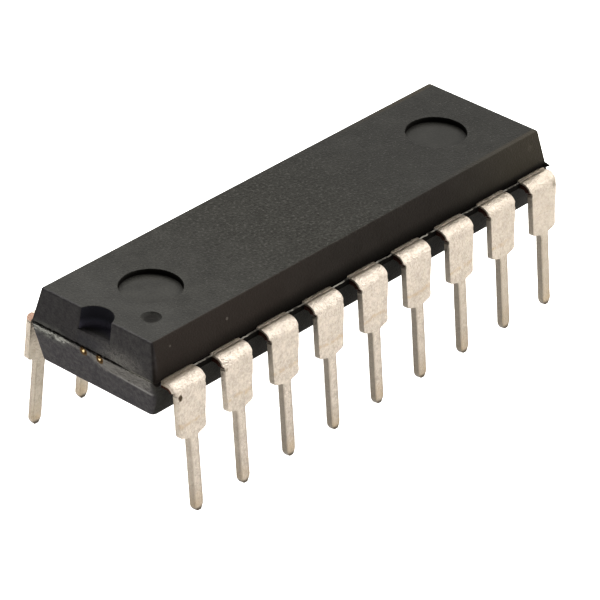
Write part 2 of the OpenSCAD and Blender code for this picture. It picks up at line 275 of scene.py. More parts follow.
def ripple(points, grain, seed, waves=28):
    """Smooth noise between about -1 and 1: a sum of sine waves of random directions and phases,
    with wavelengths from half the grain to twice the grain."""
    rng = np.random.default_rng(seed)
    ways = rng.normal(size=(waves, 3))
    ways /= np.linalg.norm(ways, axis=1, keepdims=True)
    lengths = grain * 2 ** rng.uniform(-1, 1, waves)
    phases = rng.uniform(0, 2 * math.pi, waves)
    return np.sin(points @ (ways * 2 * math.pi / lengths[:, None]).T + phases).sum(-1) / math.sqrt(waves)


def ramp(values, low, high):
    """0 up to low, 1 from high on, and a smooth step between."""
    t = np.clip((values - low) / (high - low), 0, 1)
    return t * t * (3 - 2 * t)


def window(values, low, high, soft):
    """1 between low and high, and 0 outside, with soft flanks."""
    return ramp(values, low - soft, low + soft) * (1 - ramp(values, high - soft, high + soft))


def mould_half():
    """Half length and half width of the upper half of the moulding at the parting plane."""
    m = bpy.context.scene.package_mould
    return MOULD_HIGH.x - m.lip, MOULD_HIGH.y - m.web_l


def wall_rows(m):
    """Rows of the moulding's skin from the underside up to the top face: height, half length, half width,
    corner radius, growth of the notch, and 1 where the notch is open. Each wall leans by its draft, so
    its half size is the size at the parting plane less the height from there times the draft's tangent.
    On a rounded edge, the row at angle t is inset by the radius times 1 - sin t, and stands above the
    face by the radius times 1 - cos t."""
    half_l, half_w = mould_half()
    quarter = np.linspace(0, math.pi / 2, ARC_STEPS)
    margin = m.top_edge

    def rows(z, inset, upper, opened=0.0, grow=0.0):
        z, inset = np.broadcast_arrays(np.asarray(z, float), np.asarray(inset, float))
        away = np.abs(z - PARTING_Z)
        extra = 0 if upper else m.lip
        end = math.tan(m.upper_end_draft if upper else m.lower_end_draft)
        side = math.tan(m.upper_side_draft if upper else m.lower_side_draft)
        corner = m.upper_corner if upper else m.lower_corner
        return np.stack([z, half_l + extra - away * end - inset, half_w + extra - away * side - inset,
                         np.full(z.shape, corner), np.broadcast_to(grow, z.shape),
                         np.full(z.shape, opened)], -1)

    floor_z = TOP_Z - m.notch_depth
    lip_edge = 0.3 * m.lip
    roll = m.under_edge
    gate_z = PARTING_Z - 1.2 * m.gate_h
    seam_low = PARTING_Z - m.seam_depth
    seam_high = PARTING_Z + 0.2 * m.seam_depth
    seam_insets = [m.lip, m.lip + 0.4 * m.seam_depth]
    top_inset = m.top_edge * (1 - np.cos(quarter))
    return np.concatenate([
        rows([UNDER_Z], [roll + margin], False),
        rows(UNDER_Z + roll * (1 - np.cos(quarter)), roll * (1 - np.sin(quarter)), False),
        rows(np.linspace(UNDER_Z + roll, gate_z, LOWER_ROWS)[1:], 0.0, False),
        rows(np.linspace(gate_z, PARTING_Z - lip_edge, GATE_ROWS)[1:], 0.0, False),
        rows(PARTING_Z - lip_edge * (1 - np.sin(quarter[1:])), lip_edge * (1 - np.cos(quarter[1:])), False),
        rows([PARTING_Z], [0.9 * m.lip], False),
        rows([seam_low, seam_low], seam_insets, False),
        rows([seam_high], 0.0, True),
        rows(np.linspace(seam_high, floor_z, UPPER_ROWS)[1:], 0.0, True),
        rows([floor_z], 0.0, True, 1.0),
        rows(np.linspace(floor_z, TOP_Z - m.top_edge, NOTCH_ROWS)[1:], 0.0, True, 1.0),
        rows(TOP_Z - m.top_edge * (1 - np.sin(quarter[1:])), top_inset[1:], True, 1.0, top_inset[1:]),
        rows([TOP_Z], [m.top_edge + margin], True, 1.0, m.top_edge + margin),
    ])


def outline(m, rows):
    """Outline of the moulding seen from above, one line of points for each row of sizes. It runs from the
    middle of the notch along the notch's arc, a small arc to the end wall, the wall, and the corners and
    walls that follow up to the middle of the far end, and comes back mirrored. Where the notch is closed,
    its points lie on the end wall instead."""
    z, half_l, half_w, corner, grow, opened = (rows[:, [k]] for k in range(6))
    floor_l = half_l[rows[:, 5] > 0].max()
    notch_x = m.notch_inset - mould_half()[0]
    radius = m.notch_r + grow
    edge = m.notch_edge
    edge_x = edge - np.where(opened > 0, half_l, floor_l)
    edge_y = np.sqrt((radius + edge) ** 2 - (edge_x - notch_x) ** 2)
    turn = np.arctan2(edge_y, edge_x - notch_x)

    def part(steps):
        return np.arange(steps)[None, :] / steps

    across = turn * part(NOTCH_STEPS)
    round_edge = math.pi - turn + turn * part(NOTCH_EDGE_STEPS)
    first = math.pi * (1 + 0.5 * part(CORNER_STEPS))
    second = math.pi * (1.5 + 0.5 * part(CORNER_STEPS))
    wall_y = corner - half_w
    wall_x = half_l - corner
    x = np.concatenate([
        np.where(opened > 0, notch_x + radius * np.cos(across), -half_l),
        np.where(opened > 0, edge_x + edge * np.cos(round_edge), -half_l),
        -half_l + 0 * part(END_STEPS),
        -wall_x + corner * np.cos(first),
        -wall_x + 2 * wall_x * part(SIDE_STEPS),
        wall_x + corner * np.cos(second),
        half_l + 0 * part(END_STEPS),
        half_l,
    ], 1)
    y = np.concatenate([
        -radius * np.sin(across),
        -edge_y + edge * np.sin(round_edge),
        -edge_y + (wall_y + edge_y) * part(END_STEPS),
        wall_y + corner * np.sin(first),
        -half_w + 0 * part(SIDE_STEPS),
        wall_y + corner * np.sin(second),
        wall_y * (1 - part(END_STEPS)),
        0 * half_l,
    ], 1)
    x = np.concatenate([x, x[:, -2:0:-1]], 1)
    y = np.concatenate([y, -y[:, -2:0:-1]], 1)
    return np.stack([x, y, np.broadcast_to(z, x.shape)], -1)


def break_gate(m, points):
    """Pulls the wall below the seam of the notched end out to the torn stump of the gate, roughens it and
    the seam's edge, and returns the gate's mask. The stump's face is upright at the lip's distance and
    sinks by noise; the torn band along the seam fades out downwards and away from the corner."""
    x, y, z = points[:, 0], points[:, 1], points[:, 2]
    end_x = -MOULD_HIGH.x
    soft = 0.035 * MM
    on_end = ramp(-x, -end_x - 0.3 * MM, -end_x - 0.25 * MM) * (z < PARTING_Z - 5 * WELD)
    coarse = ripple(points, 0.28 * MM, 3)
    fine = ripple(points, 0.09 * MM, 4)
    wander = 0.05 * MM * ripple(points * [1, 1, 0], 0.5 * MM, 5)
    gate_low = -m.gate_side - m.gate_w / 2
    gate = ramp(y, gate_low - 2 * soft, gate_low + 2 * soft) * (1 - ramp(y, -1.6 * MM, -0.2 * MM))
    gate = gate * window(z + wander, PARTING_Z - m.gate_h, PARTING_Z + m.gate_h, soft) * on_end
    torn_h = (0.16 + 0.12 * coarse) * MM + 0.14 * MM * ramp(y, 1.2 * MM, 2.6 * MM)
    torn = ramp(z, PARTING_Z - torn_h - soft, PARTING_Z - torn_h + soft) * on_end
    torn = torn * (0.35 + 0.65 * ramp(y, 0.6 * MM, 1.6 * MM)) * (1 - gate)
    rise = ramp(z, PARTING_Z - 0.3 * MM, PARTING_Z + 0.3 * MM)
    near_seam = ramp(-x, -end_x - 0.4 * MM, -end_x - 0.3 * MM) * rise * (1 - rise)
    sway = 0.2 * MM * ripple(points * [0, 1, 0], 0.28 * MM, 6) * ramp(y, -2 * MM, 0)
    points[:, 2] = z + near_seam * sway
    depth = gate * (0.018 + 0.012 * coarse + 0.008 * fine) * MM + torn * (0.014 + 0.012 * fine) * MM
    points[:, 0] = x + gate * (end_x - x) + depth
    return gate


def turned_patch(centre, profile):
    """A profile of radii and heights turned about an upright axis: x and y are the centre plus the radius
    times the cosine and the sine of the turn. The last radius is zero and closes the pole."""
    turn = np.linspace(0, 2 * math.pi, ROUND_STEPS, endpoint=False)
    radius, height = np.asarray(profile, float).T[..., None]
    points = np.stack([centre[0] + radius * np.cos(turn), centre[1] + radius * np.sin(turn),
                       height + 0 * turn], -1)
    return points.reshape(-1, 3), grid_faces(len(profile), ROUND_STEPS, True)


def recess_profile(radius, depth, edge, face_z, way):
    """Radii and heights of a round flat-bottomed recess: a small arc at the face, the wall, a small arc
    at the floor, and the floor in to the pole. way is -1 for a recess that goes down and 1 for one
    that goes up."""
    quarter = np.linspace(0, math.pi / 2, ARC_STEPS)
    over, down = edge * (1 - np.sin(quarter)), edge * (1 - np.cos(quarter))
    radii = [[radius + 2 * edge], radius + over, radius - down, [radius - 3 * edge, 0.5 * radius, 0.0]]
    sunk = [[0.0], down, depth - over, [depth, depth, depth]]
    return np.stack([np.concatenate(radii), face_z + way * np.concatenate(sunk)], -1)


def add_recess(skin, centre, radius, depth, edge, face_z, way):
    """Adds a round recess with masks for the painted shade on its wall and for its smooth floor."""
    points, faces = turned_patch(centre, recess_profile(radius, depth, edge, face_z, way))
    radii = np.hypot(points[:, 0] - centre[0], points[:, 1] - centre[1])
    sunk = np.abs(points[:, 2] - face_z)
    shade = ramp(sunk, 0.02 * depth, 0.2 * depth) * ramp(radii, radius - edge, radius - 0.3 * edge)
    skin.add(points, faces, shade=shade, polish=ramp(sunk, 0.3 * depth, 0.9 * depth))


def add_dimple(skin, m, centre):
    """Adds the dimple beside the first lead. It is as deep as its full depth times 1 minus the fourth power
    of the radius's share, so its floor is nearly flat and its flank steep."""
    radii = np.linspace(m.dimple_r, 0, DIMPLE_STEPS)
    bowl = TOP_Z - m.dimple_depth * (1 - (radii / m.dimple_r) ** 4)
    points, faces = turned_patch(centre, np.stack([radii, bowl], -1))
    middle = np.hypot(points[:, 0] - centre[0], points[:, 1] - centre[1])
    # The shade mask paints the dimple darker, a painted shade that is strongest in its middle
    shade = 0.72 - 0.6 * ramp(middle, 0.5 * m.dimple_r, m.dimple_r)
    skin.add(points, faces, shade=shade, polish=0.4)


class PACKAGE_OT_moulding(bpy.types.Operator):
    """Builds the resin moulding with its notch, recesses, dimple and torn gate"""
    bl_idname = "package.moulding"
    bl_label = "Moulding"

    def execute(self, context):
        m = context.scene.package_mould
        rows = wall_rows(m)
        points = outline(m, rows)
        columns = points.shape[1]
        points = points.reshape(-1, 3)
        gate = break_gate(m, points)
        half_l = mould_half()[0]
        notch_x = m.notch_inset - half_l
        height = points[:, 2]
        from_notch = np.hypot(points[:, 0] - notch_x, points[:, 1])
        in_notch = (from_notch < m.notch_r + 0.2 * m.top_edge) & (height > TOP_Z - m.notch_depth - WELD)
        in_notch = in_notch & np.repeat(rows[:, 5] > 0, columns)
        skin = Patchwork()
        skin.add(points, grid_faces(len(rows), columns, True), shade=in_notch * 1.0, gate=gate)
        edge = 0.5 * m.top_edge
        for x in (m.ejector_inset - half_l, half_l - m.ejector_inset):
            add_recess(skin, (x, 0.0), m.ejector_r, m.ejector_depth, edge, TOP_Z, -1)
            add_recess(skin, (x, 0.0), m.ejector_r, m.ejector_mark_depth, edge, UNDER_Z, 1)
        add_dimple(skin, m, (m.dimple_inset - half_l, -m.dimple_side))
        piece = skin.build("moulding", (UNDER_Z, TOP_Z))
        piece.data.materials.append(resin_material())
        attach(piece, BODY)
        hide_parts("body")
        return {"FINISHED"}


def web_bar(m, x_start, x_end, side, seed):
    """One web of resin along x between two leads. Its section is a shallow channel beside the wall, a
    thin raised rim and an upright cut face, and the rim wanders by noise along the bar."""
    _, half_w = mould_half()
    strip_t = bpy.context.scene.package_lead.strip_t
    steps = max(4, int((x_end - x_start) / (0.05 * MM)))
    x = np.linspace(x_start, x_end, steps)[:, None]
    inner = half_w - 0.06 * MM
    outer = half_w + m.web_l
    section = np.array([
        (inner, PARTING_Z - 0.08 * MM), (half_w + 0.04 * MM, PARTING_Z - 0.11 * MM),
        (outer - 0.11 * MM, PARTING_Z - 0.1 * MM), (outer - 0.09 * MM, PARTING_Z - 0.02 * MM),
        (outer - 0.07 * MM, PARTING_Z), (outer - 0.02 * MM, PARTING_Z - 0.005 * MM),
        (outer, PARTING_Z - 0.025 * MM), (outer, PARTING_Z - 0.04 * MM),
        (outer - 0.01 * MM, PARTING_Z - strip_t), (inner, PARTING_Z - strip_t),
    ])
    rim = np.array([0, 0, 0.2, 1, 1, 1, 0.8, 0, 0, 0])
    # Painted shade in the channel beside the wall and down the cut face and underside
    painted_channel_shade = np.array([1, 1, 1, 0.4, 0, 0, 0, 0.6, 0.8, 1])
    at = np.concatenate([x, 0 * x, 0 * x], 1)
    sway = ripple(at, 0.3 * MM, seed)[:, None]
    dip = ripple(at, 0.22 * MM, seed + 1)[:, None]
    y = section[:, 0] + 0.025 * MM * sway * rim
    z = section[:, 1] - 0.012 * MM * np.abs(dip) * rim
    points = np.stack([x + 0 * y, side * y, z], -1)
    faces = grid_faces(steps, len(section), True)
    ends = [list(range(len(section))), [k + (steps - 1) * len(section) for k in range(len(section))]]
    # The rim's pale share, worn resin with a painted highlight, is brightest near the lead at the web's
    # start
    near_lead = np.exp(-(x - x_start) / (0.45 * MM)) + 0.4 * np.exp(-(x_end - x) / (0.15 * MM))
    near_lead = near_lead * (1 - 0.4 * ramp(x_start, 2 * MM, 8 * MM))
    pale = np.clip(0.4 + near_lead + 0.35 * sway, 0, 1) * (x_end - x_start > 2 * m.web_end)
    return points.reshape(-1, 3), faces + ends, (pale * rim).reshape(-1), np.tile(painted_channel_shade, steps)


def flash_spike(strip_t):
    """The spike of flash at the far corner: a blade of four edges that runs from a root in the body to its
    tip by the 0.7th power of the share of its length, and gets thinner on the way. Returns its points and
    faces."""
    half_l, half_w = mould_half()
    root = np.array([(half_l - 0.35 * MM, -half_w + 0.1 * MM), (half_l + 0.02 * MM, -half_w + 0.35 * MM)])
    tip = np.array([half_l + 0.03 * MM, -half_w - 0.15 * MM])
    t = np.linspace(0, 1, 6)[:, None, None]
    blade = root * (1 - t ** 0.7) + tip * t ** 0.7
    rise = np.array([0.25, -0.55]) * strip_t * (1 - 0.85 * t[:, 0]) - 0.02 * MM * t[:, 0]
    ring = [np.concatenate([blade[:, k], PARTING_Z + rise[:, [level]]], 1)
            for k, level in ((0, 0), (1, 0), (1, 1), (0, 1))]
    faces = grid_faces(len(t), 4, True) + [[0, 1, 2, 3], [k + 4 * (len(t) - 1) for k in range(4)]]
    return np.stack(ring, 1).reshape(-1, 3), faces


class PACKAGE_OT_webs(bpy.types.Operator):
    """Builds the thin webs of resin between the leads, and the spike of flash at the far corner"""
    bl_idname = "package.webs"
    bl_label = "Resin webs"

    def execute(self, context):
        m = context.scene.package_mould
        lead = context.scene.package_lead
        webs = Patchwork()
        seed = 40
        for side in (-1, 1):
            # The swollen right edges of the front leads lie over the ends of their webs
            left, right = -lead.neck_w / 2, lead.neck_w / 2
            if side < 0:
                right += 0.8 * lead.swell
            edges = [lead_x(k) + edge for k in range(1, LEADS_PER_ROW + 1) for edge in (left, right)]
            edges = [edges[0] - m.web_end] + edges + [edges[-1] + m.web_end]
            for x_start, x_end in zip(edges[0::2], edges[1::2]):
                seed += 2
                points, faces, rim, painted_channel_shade = web_bar(m, x_start, x_end, side, seed)
                webs.add(points, faces, rim=rim, shade=painted_channel_shade)
        points, faces = flash_spike(lead.strip_t)
        webs.add(points, faces, shade=0.7)
        piece = webs.build("resin_webs")
        piece.data.materials.append(resin_material())
        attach(piece, BODY)
        return {"FINISHED"}


def lead_x(number):
    """Place of a lead along the body. The rear row counts back from the plain end."""
    column = number - 1 if number <= LEADS_PER_ROW else LEAD_COUNT - number
    return (column - (LEADS_PER_ROW - 1) / 2) * bpy.context.scene.package_lead.spacing


def rounded_line(corners, cuts, steps=5):
    """A line through corners, each rounded between two points at its cut's distance from it by the curve
    (1 - t)^2 before + 2 t (1 - t) corner + t^2 after."""
    corners = np.asarray(corners, float)
    t = np.linspace(0, 1, steps)[:, None]
    line = [corners[:1]]
    for before, corner, after, cut in zip(corners[:-2], corners[1:-1], corners[2:], cuts):
        start = corner + (before - corner) * cut / np.linalg.norm(before - corner)
        end = corner + (after - corner) * cut / np.linalg.norm(after - corner)
        line.append((1 - t) ** 2 * start + 2 * t * (1 - t) * corner + t * t * end)
    return np.concatenate(line + [corners[-1:]])


def strip_section(half_w, half_t, outer_edge, inner_edge):
    """Section of the strip at each station, across and through its thickness, going round from the left
    end of the outer face: the outer face, its rolled right edge, the cut side, the inner face and back.
    Returns the points and the share by which each belongs to a cut side."""
    quarter = np.linspace(0, math.pi / 2, 4)
    sin, cos = np.sin(quarter), np.cos(quarter)
    over = np.linspace(-0.75, 0.75, 7)
    back = np.linspace(0.75, -0.75, 4)
    outer_w = half_w[:, None] - outer_edge
    inner_w = half_w[:, None] - inner_edge
    across = [outer_w * over, outer_w + outer_edge * sin, inner_w + inner_edge * cos,
              inner_w * back, -inner_w - inner_edge * sin, -outer_w - outer_edge * cos]
    through = [half_t + 0 * over, half_t - outer_edge * (1 - cos), inner_edge * (1 - sin) - half_t,
               0 * back - half_t, inner_edge * (1 - cos) - half_t, half_t - outer_edge * (1 - sin)]
    cut = [0 * over, sin, cos, 0 * back, sin, cos]
    across = np.concatenate(across, 1)
    return across, np.broadcast_to(np.concatenate(through), across.shape), np.concatenate(cut)


def lead_stations(lead):
    """Stations along the formed part of a lead: distance from the wall, middle of the strip out and up,
    outward normal, and half width. The strip runs straight to the bend, turns about the bend's centre
    and runs down at the splay. The half width follows the cut outline, rounded at its corners."""
    _, half_w = mould_half()
    mid_r = lead.bend_r + lead.strip_t / 2
    bend_z = PARTING_Z - lead.strip_t - lead.bend_r
    arc_l = mid_r * (math.pi / 2 - lead.splay)
    cos_s, sin_s = math.cos(lead.splay), math.sin(lead.splay)
    leg_start_z = bend_z + mid_r * sin_s

    def down_to(z):
        return lead.stub_l + arc_l + (leg_start_z - z) / cos_s

    dam_z = PARTING_Z - lead.dam_drop
    if dam_z > leg_start_z:
        dam_s = lead.stub_l + mid_r * math.acos(min(1.0, (dam_z - bend_z) / mid_r))
    else:
        dam_s = down_to(dam_z)
    end_s = down_to(TIP_Z + 0.5 * lead.strip_t * sin_s)
    neck, shoulder, leg, tip = (w / 2 for w in (lead.neck_w, lead.shoulder_w, lead.leg_w, lead.tip_w))
    nib = 0.01 * MM
    corners = [(-lead.root_in, neck), (dam_s - 0.03 * MM, neck), (dam_s, shoulder + nib),
               (dam_s + 0.12 * MM, shoulder), (down_to(lead.shoulder_rise), shoulder), (down_to(0.0), leg),
               (end_s - lead.tip_rise, leg), (end_s - 0.02 * MM, tip), (end_s, tip - 0.02 * MM)]
    cuts = [0.008 * MM, 0.01 * MM, 0.03 * MM, 0.14 * MM, 0.07 * MM, 0.1 * MM, 0.012 * MM]
    profile = rounded_line(corners, cuts)
    extra = np.concatenate([np.linspace(-lead.root_in, lead.stub_l, STUB_STATIONS),
                            lead.stub_l + arc_l * np.linspace(0, 1, BEND_STATIONS),
                            np.linspace(lead.stub_l + arc_l, end_s - 0.05 * MM, LEG_STATIONS)])
    s = np.unique(np.round(np.concatenate([profile[:, 0], extra]), 9))
    width = np.interp(s, profile[:, 0], profile[:, 1])
    turn = math.pi / 2 - np.clip((s - lead.stub_l) / mid_r, 0, math.pi / 2 - lead.splay)
    normal = np.stack([np.cos(turn), np.sin(turn)], -1)
    straight = np.minimum(s - lead.stub_l, 0)
    down = np.maximum(s - lead.stub_l - arc_l, 0)
    out = half_w + lead.stub_l + straight + mid_r * normal[:, 0] + down * sin_s
    up = bend_z + mid_r * normal[:, 1] - down * cos_s
    return s, np.stack([out, up], -1), normal, width


def inner_lead(node, side, cut_y):
    """The part of a lead inside the moulding: a welded copy of the node, cut at the plane where the formed
    part starts, and closed there. Returns its points and faces."""
    bm = bmesh.new()
    bm.from_mesh(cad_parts[node].data)
    bmesh.ops.remove_doubles(bm, verts=bm.verts, dist=WELD)
    everything = bm.verts[:] + bm.edges[:] + bm.faces[:]
    bmesh.ops.bisect_plane(bm, geom=everything, dist=1e-9, plane_co=(0, side * cut_y, 0),
                           plane_no=(0, side, 0), clear_outer=True)
    bmesh.ops.holes_fill(bm, edges=[edge for edge in bm.edges if edge.is_boundary], sides=0)
    bm.verts.index_update()
    points = np.array([vert.co for vert in bm.verts], float)
    faces = [[vert.index for vert in face.verts] for face in bm.faces]
    bm.free()
    return points, faces


def bend_edges(lead, number, s, share):
    """Steps along x of the edges of a front lead's bend: a burr at each side, longer at the left and on the
    first lead, and a swell that grows to the right and fades out down the shoulder. share is the place
    across the strip, from -1 at the left edge to 1 at the right one."""
    burr = lead.burr * (1.5 if number == 1 else 1.0)
    reach = burr * window(s, 0.03 * MM, 0.74 * MM, 0.05 * MM)[:, None]
    swell = lead.swell * ramp(s, -0.02 * MM, 0.08 * MM) * (1 - ramp(s, 0.9 * MM, 2.3 * MM))
    burrs = 0.4 * ramp(share, 0.75, 1.0) - ramp(-share, 0.75, 1.0)
    return reach * burrs + swell[:, None] * ramp(share, 0.0, 1.0)


class PACKAGE_OT_leads(bpy.types.Operator):
    """Builds the eighteen formed leads, each with the part of it that lies inside the moulding"""
    bl_idname = "package.leads"
    bl_label = "Leads"

    def execute(self, context):
        lead = context.scene.package_lead
        _, half_w = mould_half()
        s, middle, normal, width = lead_stations(lead)
        across, through, cut = strip_section(width, lead.strip_t / 2, lead.outer_edge, lead.inner_edge)
        outer_face = through > lead.strip_t / 2 - lead.outer_edge
        groove = np.exp(-((s - lead.groove_out) / lead.groove_w) ** 2)[:, None] * outer_face
        columns = across.shape[1]
        tin = tin_material()
        for number in range(1, LEAD_COUNT + 1):
            side = -1 if number <= LEADS_PER_ROW else 1
            node = f"lead_{number:02d}"
            sunk = through - lead.groove_depth * groove * (0.3 if number == 1 else 1.0)
            x = lead_x(number) + across
            step_in = lead.rear_in * ramp(s, 0.0, lead.stub_l)[:, None] * (side > 0)
            y = side * (middle[:, [0]] + normal[:, [0]] * sunk - step_in)
            z = middle[:, [1]] + normal[:, [1]] * sunk
            if side < 0:
                x = x + bend_edges(lead, number, s, across / width[:, None])
            points = np.stack([x, y, z], -1).reshape(-1, 3)
            points[:, 1] += side * 0.004 * MM * ripple(points, 0.5 * MM, 100 + number)
            faces = grid_faces(len(s), columns, True)
            ends = [list(range(columns)), [k + (len(s) - 1) * columns for k in range(columns)]]
            work = Patchwork()
            work.add(points, faces + ends, along=np.repeat(s, columns) / MM, cut=np.tile(cut, len(s)),
                     inner=(through < 0).reshape(-1) * 1.0,
                     edge=((width[:, None] - np.abs(across)) / MM).reshape(-1))
            inner_points, inner_faces = inner_lead(node, side, half_w - lead.root_in)
            work.add(inner_points, inner_faces, along=-1.0)
            piece = work.build(f"formed_{node}")
            piece.data.materials.append(tin)
            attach(piece, BODY)
            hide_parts(node)
        return {"FINISHED"}


class PACKAGE_OT_inside(bpy.types.Operator):
    """Dresses the pieces inside the moulding: pad with tie bars, adhesive, chip and bond wires"""
    bl_idname = "package.inside"
    bl_label = "Inside"

    def execute(self, context):
        finishes = {"die_paddle": frame_copper_material(), "die_attach": adhesive_material(),
                    "silicon_die": silicon_material(), "bond_wire": gold_material()}
        for name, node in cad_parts.items():
            for start, finish in finishes.items():
                if name.startswith(start):
                    node.data.materials.clear()
                    node.data.materials.append(finish)
        return {"FINISHED"}


class Value:
    """A number's socket in a material. Python's operators on it add Math nodes."""

    def __init__(self, recipe, socket):
        self.recipe = recipe
        self.socket = socket

    def math(self, operation, *values):
        node = self.recipe.node("ShaderNodeMath", {"operation": operation}, dict(enumerate(values)))
        return Value(self.recipe, node.outputs[0])

    def __add__(self, other):
        return self.math("ADD", self, other)

    def __sub__(self, other):
        return self.math("SUBTRACT", self, other)

    def __rsub__(self, other):
        return self.math("SUBTRACT", other, self)

    def __mul__(self, other):
        return self.math("MULTIPLY", self, other)

    def __truediv__(self, other):
        return self.math("DIVIDE", self, other)

    def __abs__(self):
        return self.math("ABSOLUTE", self)

    __radd__ = __add__
    __rmul__ = __mul__

    def step(self, low, high):
        """0 up to low, 1 from high on, and a smooth step between. low may be above high."""
        node = self.recipe.node("ShaderNodeMapRange", {"interpolation_type": "SMOOTHSTEP"},
                                {"Value": self, "From Min": low, "From Max": high})
        return Value(self.recipe, node.outputs["Result"])

    def near(self, centre, width):
        """1 at the centre, falling smoothly to 0 at the width's distance."""
        return abs(self - centre).step(width, 0.0)


class Recipe:
    """One material and the means to add nodes to it"""

    def __init__(self, name):
        self.material = bpy.data.materials.new(name)
        self.material.use_nodes = True
        self.tree = self.material.node_tree
        self.tree.nodes.clear()
        self.place = self.node("ShaderNodeTexCoord", {}, {}).outputs["Object"]

    def node(self, kind, settings, sockets):
        """Adds a node of a kind, sets its settings, and then its sockets to values or links."""
        node = self.tree.nodes.new(kind)
        for key, value in settings.items():
            setattr(node, key, value)
        for key, value in sockets.items():
            value = getattr(value, "socket", value)
            if isinstance(value, bpy.types.NodeSocket):
                self.tree.links.new(value, node.inputs[key])
            else:
                node.inputs[key].default_value = value
        return node

    def axes(self):
        """The place's x, y and z in millimetres."""
        scaled = self.node("ShaderNodeVectorMath", {"operation": "SCALE"}, {0: self.place, "Scale": 1 / MM})
        parts = self.node("ShaderNodeSeparateXYZ", {}, {0: scaled.outputs[0]})
        return [Value(self, parts.outputs[k]) for k in range(3)]

    def noise(self, grain, detail=2.0, roughness=0.5, stretch=(1, 1, 1), distortion=0.0):
        """Noise whose features are about a grain wide, longer along an axis by its stretch."""
        scale = [1 / (grain * MM * s) for s in stretch]
        spread = self.node("ShaderNodeVectorMath", {"operation": "MULTIPLY"}, {0: self.place, 1: scale})
        sockets = {"Vector": spread.outputs[0], "Scale": 1.0, "Detail": detail, "Roughness": roughness,
                   "Distortion": distortion}
        return Value(self, self.node("ShaderNodeTexNoise", {}, sockets).outputs[0])

    def cells(self, grain):
        """Distance from the middle of the nearest of many random cells a grain wide."""
        spread = self.node("ShaderNodeVectorMath", {"operation": "SCALE"},
                           {0: self.place, "Scale": 1 / (grain * MM)})
        node = self.node("ShaderNodeTexVoronoi", {}, {"Vector": spread.outputs[0], "Scale": 1.0})
        return Value(self, node.outputs["Distance"])

    def mask(self, name):
        """A mask that the piece's points carry."""
        node = self.node("ShaderNodeAttribute", {"attribute_name": name}, {})
        return Value(self, node.outputs["Fac"])

    def mix(self, factor, first, second):
        """A colour between two colours, each a socket or its red, green and blue."""
        first, second = (side if isinstance(side, bpy.types.NodeSocket) else (*side, 1.0)
                         for side in (first, second))
        node = self.node("ShaderNodeMix", {"data_type": "RGBA"}, {0: factor, 6: first, 7: second})
        return node.outputs[2]

    def bump(self, height, strength, distance):
        """A normal tipped by a height."""
        sockets = {"Strength": strength, "Distance": distance * MM, "Height": height}
        return self.node("ShaderNodeBump", {}, sockets).outputs["Normal"]

    def finish(self, sockets):
        """Adds the surface shader and returns the material."""
        surface = self.node("ShaderNodeBsdfPrincipled", {}, sockets)
        self.node("ShaderNodeOutputMaterial", {}, {"Surface": surface.outputs[0]})
        return self.material


# Shades that grain, wear and dirt give the resin, and painted light, sheen and shade, in linear values
RESIN_SHADES = {
    # Painted shade towards the plain end, and painted sheen on the top
    "painted_shade_plain_end": (0.014, 0.0135, 0.012),
    "painted_sheen_beside_notch": (0.066, 0.065, 0.062),
    "top_middle_painted_sheen": (0.028, 0.0265, 0.021),
    "long_wall": (0.056, 0.0435, 0.037),
    "far_wall": (0.052, 0.045, 0.034),
    "scuff": (0.14, 0.125, 0.11),
    # Painted light on the mottled notched end wall, and painted shade on its upper left
    "painted_light_end_dark": (0.037, 0.034, 0.041),
    "painted_light_end_pale": (0.072, 0.069, 0.071),
    "end_middle": (0.045, 0.046, 0.056),
    "painted_shade_end_upper": (0.018, 0.017, 0.02),
    "gate_edge": (0.24, 0.235, 0.225),
    "rubbed_patch": (0.17, 0.176, 0.155),
    "scratch": (0.38, 0.38, 0.35),
    "painted_light_seam": (0.3, 0.29, 0.26),
    "tie_stain": (0.1, 0.06, 0.022),
    # Painted shade for recess walls, web channels, the seam, corners and long walls
    "dark": (0.0065, 0.0055, 0.0045),
    # The notch's painted shade on its upper walls and painted light on its floor
    "painted_shade_notch_wall": (0.024, 0.024, 0.03),
    "painted_light_notch_floor": (0.09, 0.087, 0.11),
}

# Shades that cutting, wear and dirt give the tin, and painted shade, in linear values
TIN_SHADES = {
    # Painted shade on the inner faces
    "painted_shade_inner_face": (0.33, 0.3, 0.24),
    # Painted shade on the cut sides
    "cut_side": (0.23, 0.208, 0.178),
    "rear_cut": (0.4, 0.27, 0.21),
    "pit": (0.06, 0.04, 0.02),
    "trimmed": (0.09, 0.075, 0.05),
}

# Scuffs on the walls and pits in the tin: x, y and z of the middle and the radius, in millimetres, and
# the strength
SCUFFS = ((10.44, -2.95, 3.32, 0.2, 0.6), (-7.18, -2.97, 3.23, 0.08, 1.8), (-10.2, -2.94, 3.38, 0.07, 1.2))
PITS = ((-10.72, -3.97, 1.8, 0.15, 1.0), (-8.22, -3.96, 1.89, 0.08, 0.45))

# Distance of each tie bar's middle from the middle of the body, in millimetres
TIE_SIDE = 0.42


def tinted(shade, share):
    """A colour made darker or lighter by a share, up to white."""
    return [min(1.0, part * share) for part in shade]


def squared_away(place, centre, radius, rise=1.0):
    """Square of the distance between a place and a centre, over the square of the radius. rise weighs the
    height's part of it."""
    dx, dy, dz = (value - at for value, at in zip(place, centre))
    return (dx * dx + dy * dy + dz * dz * rise) / radius ** 2


